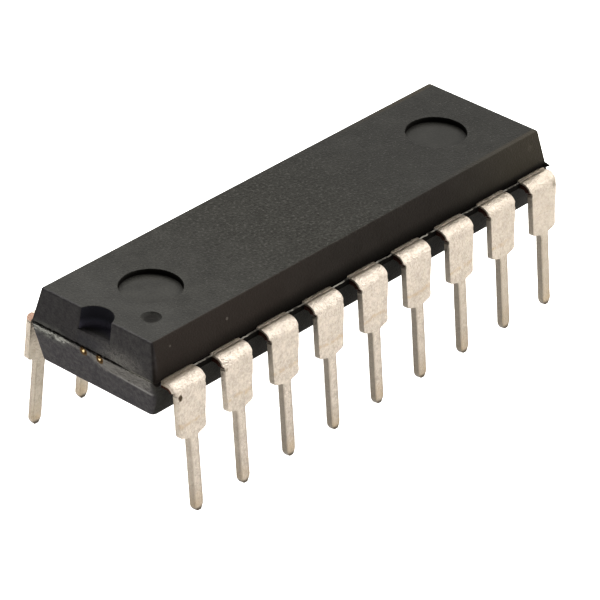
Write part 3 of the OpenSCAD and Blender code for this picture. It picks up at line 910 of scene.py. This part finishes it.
class ResinMarks:
    """Places, masks and noises that the parts of the resin's finish share, with lengths in millimetres"""

    def __init__(self, r):
        m = bpy.context.scene.package_mould
        self.place = r.axes()
        x, y, z = self.place
        self.shade, self.polish = r.mask("shade"), r.mask("polish")
        self.rim, self.gate = r.mask("rim"), r.mask("gate")
        self.half_l, self.half_w = (size / MM for size in mould_half())
        self.seam_z = PARTING_Z / MM
        self.top_z = TOP_Z / MM
        self.fine = r.noise(0.095, 3.0, 0.7)
        self.tears = r.noise(0.16, 4.0, 0.6, (1, 1.6, 0.6), 0.6)
        self.sway = (r.noise(0.5, 2.0) - 0.5) * 0.25

        # With the draft taken off, x and y of the upper walls are the half length and the half width
        above = z - self.seam_z
        flat_x = abs(x) + above * math.tan(m.upper_end_draft)
        flat_y = abs(y) + above * math.tan(m.upper_side_draft)
        near_end = x.step(0.35 - self.half_l, 0.25 - self.half_l)
        self.on_end = near_end * abs(y).step(self.half_w - 0.02, self.half_w - 0.22)
        self.on_side = flat_y.step(self.half_w - 0.08, self.half_w - 0.02)
        corner = flat_x.step(self.half_l - 0.16, self.half_l - 0.06)
        corner = corner * flat_y.step(self.half_w - 0.16, self.half_w - 0.06)
        self.corner = corner * above.step(0.0, 0.05)
        far = x.step(4.0, 11.0) * flat_y.step(self.half_w - 0.3, self.half_w - 0.15)
        self.far = far * above.step(0.0, 0.3)


def plain_resin(r, marks):
    """Colour of the plain resin: fine and coarse grains, a cloudy tone, painted shade that darkens it
    towards the plain end, painted sheen that makes the top paler beside the notch and darker in its middle,
    with painted glints among the coarse grains there, warm long walls and a few scuffs. marks holds the
    shared masks."""
    m = bpy.context.scene.package_mould
    x, _, z = marks.place
    cloud = r.noise(0.9, 2.0)
    grey = (marks.fine * 0.8 + cloud * 0.4 - 0.1).step(0.1, 1.0)
    base = r.mix(grey, tinted(m.resin, 0.5), tinted(m.resin, 1.7))
    # Painted shade: darker towards the plain end
    base = r.mix(x.step(-9.5, 3.0) * 0.4, base, RESIN_SHADES["painted_shade_plain_end"])
    # Painted sheen: the top is paler beside the notch
    painted_sheen_beside_notch = x.step(-7.5, -10.0) * z.step(marks.seam_z + 1.3, marks.seam_z + 1.4)
    base = r.mix(painted_sheen_beside_notch * 0.25, base, RESIN_SHADES["painted_sheen_beside_notch"])
    grains = r.noise(0.08, 1.0).step(0.6, 0.75) * (1 - marks.polish * 0.8)
    base = r.mix(grains * 0.3 * z.step(marks.seam_z + 1.2, marks.seam_z + 1.4), base, m.resin_speck)

    # Middle of the top: coarse light and dark specks, filler grain with painted glints, and a painted sheen
    # that darkens it
    top_middle_painted_sheen = x.near(-1.0, 7.5) * z.step(marks.top_z - 0.1, marks.top_z) * (1 - marks.polish)
    coarse = r.noise(0.12, 2.0, 0.6)
    base = r.mix(top_middle_painted_sheen * coarse.step(0.52, 0.72) * 0.9, base, tinted(m.resin, 2.2))
    base = r.mix(top_middle_painted_sheen * coarse.step(0.48, 0.28) * 0.9, base, tinted(m.resin, 0.3))
    base = r.mix(top_middle_painted_sheen * 0.4, base, RESIN_SHADES["top_middle_painted_sheen"])

    warm = marks.on_side * (1 - marks.far) * (0.7 - 0.3 * x.step(-6.0, 0.0))
    base = r.mix(warm, base, RESIN_SHADES["long_wall"])
    scuffs = 0
    for *centre, radius, strength in SCUFFS:
        scuffs = squared_away(marks.place, centre, radius).step(1.0, 0.0) * strength + scuffs
    return r.mix(scuffs * marks.fine.step(0.3, 0.6), base, RESIN_SHADES["scuff"])


def broken_resin(r, marks):
    """Mask of broken resin on the notched end: the worn band under the seam, whose depth below it is taken
    in shares of the band's own width, the rubbed patch round the seam, and the torn band below the gate."""
    _, y, z = marks.place
    below = (marks.seam_z - z + marks.sway * 0.5) / (0.2 + 0.3 * y.step(0.4, -0.6))
    worn = (below + marks.tears * 0.6).step(1.7, 0.8) * below.step(0.0, 0.2)
    worn = worn * y.step(-3.2, -2.9) * y.step(3.2, 2.9) * (0.45 + 0.55 * marks.tears.step(0.35, 0.62))
    worn = worn * (0.72 + 0.35 * y.near(-0.5, 1.0))
    rub = z.near(marks.seam_z + 0.1, 0.8) * y.near(-1.5, 1.7) * (0.7 + 0.3 * marks.tears.step(0.2, 0.6))
    torn = (z + marks.sway * 0.4).step(marks.seam_z - 0.57, marks.seam_z - 0.4)
    torn = torn * z.step(marks.seam_z, marks.seam_z - 0.04)
    torn = torn * y.step(-3.1, -2.6) * (y + marks.sway * 3).step(0.5, -1.6)
    torn = torn * (marks.tears.step(0.25, 0.7) * 0.3 + 0.2)
    broken = marks.on_end * (worn + rub * 0.85 + torn)
    mottled = (r.noise(0.1, 3.0, 0.75) - 0.5) * 1.6 * (broken + marks.gate).step(0.0, 0.5)
    return (broken + marks.gate * 0.15 + mottled).step(-0.3, 1.1) * marks.on_end


def notched_end(r, marks, base, broken):
    """Colour of the notched end over the plain resin: its mottled wall, painted lighter as painted light and
    less so on the upper left, the broken resin, the scratched lower edge of the gate, the rubbed patch and
    the scratches on the far side of the tie bars."""
    m = bpy.context.scene.package_mould
    _, y, z = marks.place
    # The end wall's mottle is painted lighter than the resin, a painted light, most of it below the seam
    wall = r.mix(r.noise(0.2, 4.0, 0.7).step(0.35, 0.65), RESIN_SHADES["painted_light_end_dark"], RESIN_SHADES["painted_light_end_pale"])
    base = r.mix(marks.on_end * (0.65 + 0.25 * z.step(marks.seam_z, marks.seam_z - 0.1)), base, wall)
    middle = z.near(marks.seam_z + 0.3, 0.35) * abs(y).step(0.95, 0.6)
    base = r.mix(marks.on_end * middle * 0.5, base, RESIN_SHADES["end_middle"])
    # Painted shade: less of the painted light on the upper left of the end wall
    upper = y.step(-0.4, 1.0) * z.step(marks.seam_z + 0.05, marks.seam_z + 0.25)
    base = r.mix(marks.on_end * upper * 0.3, base, RESIN_SHADES["painted_shade_end_upper"])
    base = r.mix(broken, base, m.resin_broken)

    gate_edge = (z - y * 0.058).near(marks.seam_z - 0.42, 0.1) * (y + marks.sway * 2).step(-0.5, -1.7)
    gate_edge = gate_edge * y.step(-3.15, -2.9) * marks.fine.step(0.1, 0.45)
    base = r.mix(marks.on_end * gate_edge * 0.8, base, RESIN_SHADES["gate_edge"])
    patch = z.near(marks.seam_z - 0.12, 0.5) * y.step(0.9, 1.9) * (0.5 + 0.5 * marks.tears.step(0.3, 0.6))
    base = r.mix(marks.on_end * patch.step(0.0, 0.7) * 0.35, base, RESIN_SHADES["rubbed_patch"])
    scratches = (z + marks.sway * 1.4).near(marks.seam_z - 0.2, 0.2) * marks.tears.step(0.35, 0.6)
    scratches = scratches + (z + marks.sway).near(marks.seam_z - 0.1, 0.07)
    scratches = scratches * y.step(0.8, 1.5) * r.noise(0.3, 3.0).step(0.3, 0.5)
    return r.mix(marks.on_end * scratches.step(0.2, 0.9) * 0.66, base, RESIN_SHADES["scratch"])


def resin_marks(r, marks, base):
    """Colour with the marks over the rest: the paler far wall, painted light on the seam beside the gate,
    brown smears round the ends of the tie bars, and the pale rim of the webs, worn and with a painted
    highlight."""
    m = bpy.context.scene.package_mould
    x, y, z = marks.place
    base = r.mix(marks.far * 0.8, base, RESIN_SHADES["far_wall"])
    # Painted light on the seam beside the gate, which lifts the shadow in the seam's groove
    filled = z.near(marks.seam_z, 0.07) * y.step(-1.6, -2.1) * marks.on_end
    base = r.mix(filled * 0.8, base, RESIN_SHADES["painted_light_seam"])
    tie = abs(y).near(TIE_SIDE, 0.28) * z.near(marks.seam_z - 0.15, 0.29)
    tie = tie * abs(x).step(marks.half_l - 0.2, marks.half_l - 0.1)
    smear = tie.step(0.1, 0.5) * (0.6 + 0.4 * r.noise(0.1).step(0.3, 0.5))
    base = r.mix(smear, base, RESIN_SHADES["tie_stain"])
    # The webs' pale rim: worn resin with a painted highlight, broken up by noise
    return r.mix(marks.rim * (0.4 + 0.6 * r.noise(0.15, 2.0).step(0.3, 0.5)), base, m.rim_wear_and_highlight)


def painted_shade_mask(r, marks):
    """Mask of painted shade: recesses, the seam at the notched end, upright corners and the long walls,
    which darken towards the webs."""
    x, y, z = marks.place
    # Painted shadow along the seam of the notched end, fading out towards the gate
    seam = (z + marks.sway * 0.25).near(marks.seam_z + 0.02, 0.06) * marks.on_end * y.step(-1.9, -1.2)
    seam = seam * (0.6 + 0.4 * r.noise(0.2).step(0.35, 0.5))
    # Painted shade on the long walls, stronger towards the webs and below the seam, and a little painted
    # shade on the upright corners
    painted_shade_foot = z.step(marks.seam_z + 0.6, marks.seam_z) * (0.3 + 0.7 * x.step(-9.5, -4.0))
    lower = z.step(marks.seam_z, marks.seam_z - 0.06)
    long_wall = marks.on_side * (1 - 0.75 * marks.far) * (0.4 + 0.4 * painted_shade_foot + 0.3 * lower)
    dark = marks.shade * 0.85 + seam * 0.95 + marks.corner * 0.1 + long_wall
    return dark.step(0.0, 1.0) * (1 - marks.rim)


def resin_material():
    """Filled black epoxy: grains, a cloudy tone and painted sheen, the worn and torn notched end with
    painted light on its wall, painted light on the seam beside the gate and on the notch's floor, brown
    smears, the pale rim on the webs, worn and with a painted highlight, and painted shade in the recesses,
    on the seam, corners and walls."""
    known = bpy.data.materials.get("filled_epoxy")
    if known:
        return known
    r = Recipe("filled_epoxy")
    marks = ResinMarks(r)
    x, _, z = marks.place
    broken = broken_resin(r, marks)
    # dark is the mask of painted shade
    dark = painted_shade_mask(r, marks)
    base = notched_end(r, marks, plain_resin(r, marks), broken)
    base = resin_marks(r, marks, base)
    # In the notch: painted shade on the upper walls, and painted light that lifts the floor and lower walls
    # out of their shade
    near_floor = z.step(marks.top_z - 0.4, marks.top_z - 0.8)
    notch = r.mix(near_floor, RESIN_SHADES["painted_shade_notch_wall"], RESIN_SHADES["painted_light_notch_floor"])
    in_notch = x.step(0.95 - marks.half_l, 0.85 - marks.half_l) * marks.shade
    base = r.mix(dark, base, r.mix(in_notch, RESIN_SHADES["dark"], notch))
    rough = 0.6 + (marks.fine - 0.5) * 0.3 + broken * 0.15 + dark * 0.2 + marks.corner * 0.3
    height = marks.fine * (1.0 - marks.polish * 0.75) + marks.tears * broken * 1.5
    return r.finish({"Base Color": base, "Roughness": rough, "Specular IOR Level": 0.09,
                     "Specular Tint": (1.0, 0.97, 0.92, 1.0), "Normal": r.bump(height, 0.8, 0.04)})


class TinMarks:
    """Places, masks and noises that the parts of the tin's finish share, with lengths in millimetres"""

    def __init__(self, r):
        s = bpy.context.scene.package_lead
        self.place = r.axes()
        self.along, self.cut = r.mask("along"), r.mask("cut")
        self.inner, self.edge = r.mask("inner"), r.mask("edge")
        self.mottle = r.noise(0.35, 3.0, 0.6)
        self.fine = r.noise(0.11, 3.0, 0.65)
        self.streak = r.noise(0.16, 2.0, 0.5, (1, 1, 5))
        self.dull = r.noise(0.5, 3.0, 0.6).step(0.52, 0.72) * 0.3 + self.streak.step(0.55, 0.8) * 0.15
        self.stub = self.along.step(s.stub_l / MM + 0.12, s.stub_l / MM - 0.12)
        self.front = self.place[1].step(0.0, -1.0)


def plated_tin(r, marks):
    """Colour of the plating: mottled, dull in patches and on the stubs, where the dulling is partly painted
    shade, with painted shade lower down and on the leads further right, a darker clamp groove, painted shade
    at the root and on the grey inner faces. marks holds the shared masks."""
    s = bpy.context.scene.package_lead
    x, y, z = marks.place
    pale = (marks.mottle * 0.5 + marks.fine * 1.1 - 0.35).step(0.1, 0.8)
    base = r.mix(pale, tinted(s.tin, 0.74), tinted(s.tin, 1.16))
    # Dull tin in patches, and on the stubs partly oxidised tin and partly painted shade
    first = x.step(-8.9, -9.2) * marks.front
    dull_and_painted_shade = marks.dull + marks.stub * (0.3 + first * 0.3 + 0.6 * marks.fine.step(0.35, 0.65))
    base = r.mix(dull_and_painted_shade.step(0.0, 1.0), base, s.tin_dull)
    # Painted shade: darker lower down and on the leads further right
    painted_shade_low_right = x.step(-1.0, 10.0) * (0.4 + 0.6 * z.step(0.4, -0.6)) * (1 - marks.stub)
    base = r.mix(painted_shade_low_right * 0.75, base, s.tin_dull)
    groove = marks.along.near(s.groove_out / MM - 0.01, 0.13) * r.noise(0.3, 2.0).step(0.25, 0.5)
    groove = groove * (0.3 + 0.7 * (x + abs(y)).step(-6.5, -5.5))
    base = r.mix(groove * (0.5 + 0.35 * marks.mottle), base, tinted(s.tin_dull, 0.3))
    # Painted shade at the root, where the lead meets the wall
    base = r.mix(marks.along.step(0.04, 0.0) * 0.5, base, tinted(s.tin_dull, 0.2))
    # Painted shade on the inner faces, which face the body
    return r.mix(marks.inner * (0.25 + 0.3 * marks.streak.step(0.3, 0.7)), base, TIN_SHADES["painted_shade_inner_face"])


def stained_tin(r, marks, base):
    """Colour with ochre creases across the shoulders, stained tips, painted shade along the leg edges and
    dark cut ends.
    """
    s = bpy.context.scene.package_lead
    x, _, z = marks.place
    tip_z = TIP_Z / MM
    crease_z = s.crease_z / MM
    wander = (r.noise(0.5, 2.0) - 0.5) * 0.4
    gaps = r.noise(0.3).step(0.3, 0.5) * (1 - marks.inner) * x.step(9.0, 7.0)
    crease = (z + wander).near(crease_z, 0.17) * gaps * (0.4 + 0.6 * marks.fine.step(0.3, 0.6))
    second = (z + wander * 2.5).near(crease_z + 0.35, 0.13) * (1 - gaps) * (1 - marks.inner) * 0.4
    tips = z.step(tip_z + 1.8, tip_z) * 0.8
    base = r.mix(((crease + second) * 0.5 + tips * marks.mottle).step(0.0, 1.0), base, s.stain)
    # Painted shade along the rolled edges of the legs
    painted_shade_leg_edge = z.step(0.2, -0.2) * marks.edge.step(0.13, 0.03) * (1 - marks.inner)
    painted_shade_leg_edge = painted_shade_leg_edge * marks.fine.step(0.2, 0.6)
    base = r.mix(painted_shade_leg_edge * 0.4, base, tinted(s.tin_dull, 0.5))
    return r.mix(z.step(tip_z + 0.2, tip_z + 0.07) * 0.8, base, tinted(s.tin_dull, 0.2))


def cut_tin(r, marks, base):
    """Colour with the cut sides, and the mask of bare copper: painted shade on the cut sides down the
    shoulder and leg, stronger on the front leads further right, a painted shadow along the inner face's
    edges, copper beside the front bends, painted very dark as the shade under the bend, and inside the
    moulding, and reddish cuts in the rear row."""
    s = bpy.context.scene.package_lead
    x, y, z = marks.place
    cut_side = marks.cut.step(0.35, 0.8)
    # Painted shade on the cut sides, stronger on the front leads further right
    base = r.mix(cut_side * (0.05 + 0.75 * x.step(-9.0, -4.5) * marks.front), base, TIN_SHADES["cut_side"])
    # Painted shadow along the edges of the inner face, stronger higher up
    painted_shadow_side_edge = marks.inner.step(0.2, 0.6) * marks.edge.step(0.12, 0.0) * marks.cut.step(0.9, 0.3)
    base = r.mix(painted_shadow_side_edge * (0.15 + 0.7 * z.step(0.6, 2.2)), base, tinted(s.tin_dull, 0.25))
    bend_end = (s.stub_l + (s.bend_r + s.strip_t / 2) * (math.pi / 2 - s.splay)) / MM
    beside_bend = cut_side * marks.along.step(bend_end + 0.06, bend_end - 0.02)
    bare = beside_bend * (0.8 + 0.2 * marks.fine.step(0.3, 0.6)) * (0.35 + 0.65 * marks.front)
    bare = bare * (marks.inner + x.step(-9.8, -9.2) * 0.4).step(0.4, 0.7)
    bare = (bare + marks.along.step(0.0, -0.03)).step(0.0, 1.0)
    # Bare copper beside the bends, its colour painted very dark as the shade under the bend
    base = r.mix(bare, base, s.copper)
    rear_cut = beside_bend * y.step(3.0, 3.4) * marks.along.step(0.0, 0.05)
    return r.mix(rear_cut * 0.9, base, TIN_SHADES["rear_cut"]), bare


def tin_material():
    """Matt tin over a copper strip: the plating, its stains, the cut sides, pits below the first two bends,
    and the dark trimmed edge of the last lead of the front row."""
    r = Recipe("matt_tin")
    marks = TinMarks(r)
    x, y, z = marks.place
    base, bare = cut_tin(r, marks, stained_tin(r, marks, plated_tin(r, marks)))
    pits = 0
    for *centre, radius, depth in PITS:
        away = squared_away(marks.place, centre, radius, 0.6) + marks.fine * 0.8
        pits = away.step(1.3, 0.5) * depth + pits
    base = r.mix(pits * 0.9, base, TIN_SHADES["pit"])
    trimmed = x.step(10.73, 10.77) * z.near(1.92, 0.2) * y.step(-3.6, -3.8)
    base = r.mix(trimmed * 0.5, base, TIN_SHADES["trimmed"])
    rough = 0.42 + (marks.fine - 0.5) * 0.3 + marks.stub * 0.08 + marks.dull * 0.2 + bare * 0.1 + pits * 0.4
    grain = r.noise(0.075, 2.0, 0.6)
    return r.finish({"Base Color": base, "Roughness": rough, "Metallic": 1.0,
                     "Normal": r.bump(grain + marks.fine * 0.6 + marks.mottle * 0.6, 0.8, 0.06)})


def frame_copper_material():
    """Bare copper alloy of the pad and tie bars, with cut ends smeared bright."""
    r = Recipe("frame_copper")
    x, y, z = r.axes()
    fine = r.noise(0.05, 3.0)
    base = r.mix(fine.step(0.3, 0.7), (0.45, 0.22, 0.09), (0.8, 0.5, 0.25))
    ends = abs(x).step(11.15, 11.2)
    base = r.mix(ends, base, (0.05, 0.03, 0.012))
    bright = abs(y).near(TIE_SIDE, 0.11) * z.near(PARTING_Z / MM - 0.11, 0.14)
    base = r.mix(ends * bright.step(0.1, 0.7), base, (0.6, 0.48, 0.28))
    return r.finish({"Base Color": base, "Roughness": 0.35 + fine * 0.2, "Metallic": 1.0,
                     "Normal": r.bump(fine, 0.4, 0.01)})


def adhesive_material():
    """Cured silver-filled adhesive."""
    r = Recipe("silver_adhesive")
    fine = r.noise(0.02, 3.0)
    base = r.mix(fine, (0.35, 0.35, 0.34), (0.65, 0.65, 0.63))
    return r.finish({"Base Color": base, "Roughness": 0.5 + fine * 0.2, "Metallic": 0.4,
                     "Normal": r.bump(fine, 0.3, 0.004)})


def silicon_material():
    """Polished silicon with a faint grid of circuit blocks."""
    r = Recipe("silicon")
    cells = r.cells(0.3)
    base = r.mix(cells.step(0.2, 0.7), (0.1, 0.11, 0.17), (0.17, 0.15, 0.2))
    return r.finish({"Base Color": base, "Roughness": 0.15 + cells * 0.1, "Metallic": 0.5})


def gold_material():
    """Drawn gold wire."""
    r = Recipe("drawn_gold")
    fine = r.noise(0.02, 2.0)
    base = r.mix(fine, (0.8, 0.52, 0.14), (0.95, 0.7, 0.26))
    return r.finish({"Base Color": base, "Roughness": 0.2 + fine * 0.1, "Metallic": 1.0})


def floor_material():
    """Plain pale floor that glows a little."""
    st = bpy.context.scene.package_stage
    r = Recipe("pale_floor")
    base = r.mix(r.noise(60.0, 2.0), tinted(st.floor, 0.985), st.floor)
    return r.finish({"Base Color": base, "Roughness": 0.8, "Specular IOR Level": 0.1,
                     "Emission Color": (*ROOM_WHITE, 1.0), "Emission Strength": st.glow})


def soft_lamp(name, way, reach, size, watts):
    """A square area lamp at a reach from the frame's origin, on the side that way points to. It faces the
    origin."""
    lamp = bpy.data.lights.new(name, "AREA")
    lamp.shape = "SQUARE"
    lamp.size = size
    lamp.energy = watts
    piece = bpy.data.objects.new(name, lamp)
    bpy.context.scene.collection.objects.link(piece)
    place_at = Vector(way).normalized() * reach
    turn = (-place_at).to_track_quat("-Z", "Y")
    piece.matrix_world = Matrix.Translation(place_at) @ turn.to_matrix().to_4x4()


def pale_floor():
    """A round flat floor at the level of the leads' tips."""
    turn = np.linspace(0, 2 * math.pi, ROUND_STEPS, endpoint=False)
    rim = np.stack([FLOOR_R * np.cos(turn), FLOOR_R * np.sin(turn), 0 * turn + TIP_Z], -1)
    mesh = bpy.data.meshes.new("floor")
    mesh.from_pydata(rim.tolist(), [], [list(range(len(turn)))])
    mesh.materials.append(floor_material())
    floor = bpy.data.objects.new("floor", mesh)
    bpy.context.scene.collection.objects.link(floor)


def white_room(sky):
    """A world that lights evenly from all sides."""
    world = bpy.data.worlds.new("white_room")
    world.use_nodes = True
    background = world.node_tree.nodes["Background"]
    background.inputs[0].default_value = (*ROOM_WHITE, 1.0)
    background.inputs[1].default_value = sky
    bpy.context.scene.world = world


def fitted_camera(st):
    """The camera as it was fitted to the photo. back points from the fitted point to the camera: its x is
    sin a cos e, its y is -cos a cos e and its z is sin e, for azimuth a and elevation e. The camera stands
    on it at the distance, rolled, and looks at a point beside the fitted one, the picture's middle."""
    azimuth, elevation, roll = st.azimuth, st.elevation, st.roll
    back = Vector((math.sin(azimuth) * math.cos(elevation), -math.cos(azimuth) * math.cos(elevation),
                   math.sin(elevation)))
    right = Vector((math.cos(azimuth), math.sin(azimuth), 0))
    up = back.cross(right)
    rolled_right = right * math.cos(roll) + up * math.sin(roll)
    rolled_up = up * math.cos(roll) - right * math.sin(roll)
    fitted = Vector((0, 0, st.aim_z))
    place_at = fitted + back * st.distance
    middle = fitted + rolled_right * st.aim_right - rolled_up * st.aim_down
    look = (place_at - middle).normalized()
    side = (rolled_right - look * rolled_right.dot(look)).normalized()
    data = bpy.data.cameras.new("camera")
    data.lens = st.lens
    data.sensor_width = SENSOR_W
    data.clip_start, data.clip_end = CLIP
    camera = bpy.data.objects.new("camera", data)
    bpy.context.scene.collection.objects.link(camera)
    turned = Matrix((side, look.cross(side), look)).transposed()
    camera.matrix_world = Matrix.Translation(place_at) @ turned.to_4x4()
    return camera


class PACKAGE_OT_stage(bpy.types.Operator):
    """Builds the floor, the lamps, the white room and the camera"""
    bl_idname = "package.stage"
    bl_label = "Stage"

    def execute(self, context):
        st = context.scene.package_stage
        context.scene.view_settings.view_transform = "Standard"
        context.scene.view_settings.look = "High Contrast"
        pale_floor()
        white_room(st.sky)
        soft_lamp("key_lamp", *KEY_LAMP, st.key)
        soft_lamp("back_lamp", *BACK_LAMP, st.back)
        context.scene.camera = fitted_camera(st)
        return {"FINISHED"}


class PACKAGE_PT_panel(bpy.types.Panel):
    """Panel that lists the sizes, the colours and the pieces"""
    bl_idname = "PACKAGE_PT_panel"
    bl_label = "Dual in-line package"
    bl_space_type = "VIEW_3D"
    bl_region_type = "UI"
    bl_category = "Package"

    def draw(self, context):
        for group in (context.scene.package_mould, context.scene.package_lead, context.scene.package_stage):
            box = self.layout.box()
            for key in group.bl_rna.properties.keys():
                if key not in ("rna_type", "name"):
                    box.prop(group, key)
        for operator in OPERATORS:
            self.layout.operator(operator.bl_idname)


GROUPS = {"package_mould": PackageMouldSettings, "package_lead": PackageLeadSettings,
          "package_stage": PackageStageSettings}
OPERATORS = (PACKAGE_OT_moulding, PACKAGE_OT_webs, PACKAGE_OT_leads, PACKAGE_OT_inside, PACKAGE_OT_stage)


def register():
    """Registers the settings, the operators and the panel."""
    for cls in (*GROUPS.values(), *OPERATORS, PACKAGE_PT_panel):
        bpy.utils.register_class(cls)
    for name, group in GROUPS.items():
        setattr(bpy.types.Scene, name, PointerProperty(type=group))


def unregister():
    """Takes all of it away again."""
    for name in GROUPS:
        delattr(bpy.types.Scene, name)
    for cls in (PACKAGE_PT_panel, *reversed(OPERATORS), *GROUPS.values()):
        bpy.utils.unregister_class(cls)


def main():
    """Builds every piece in order."""
    register()
    bpy.ops.package.moulding()
    bpy.ops.package.webs()
    bpy.ops.package.leads()
    bpy.ops.package.inside()
    bpy.ops.package.stage()


if __name__ == "__main__":
    main()
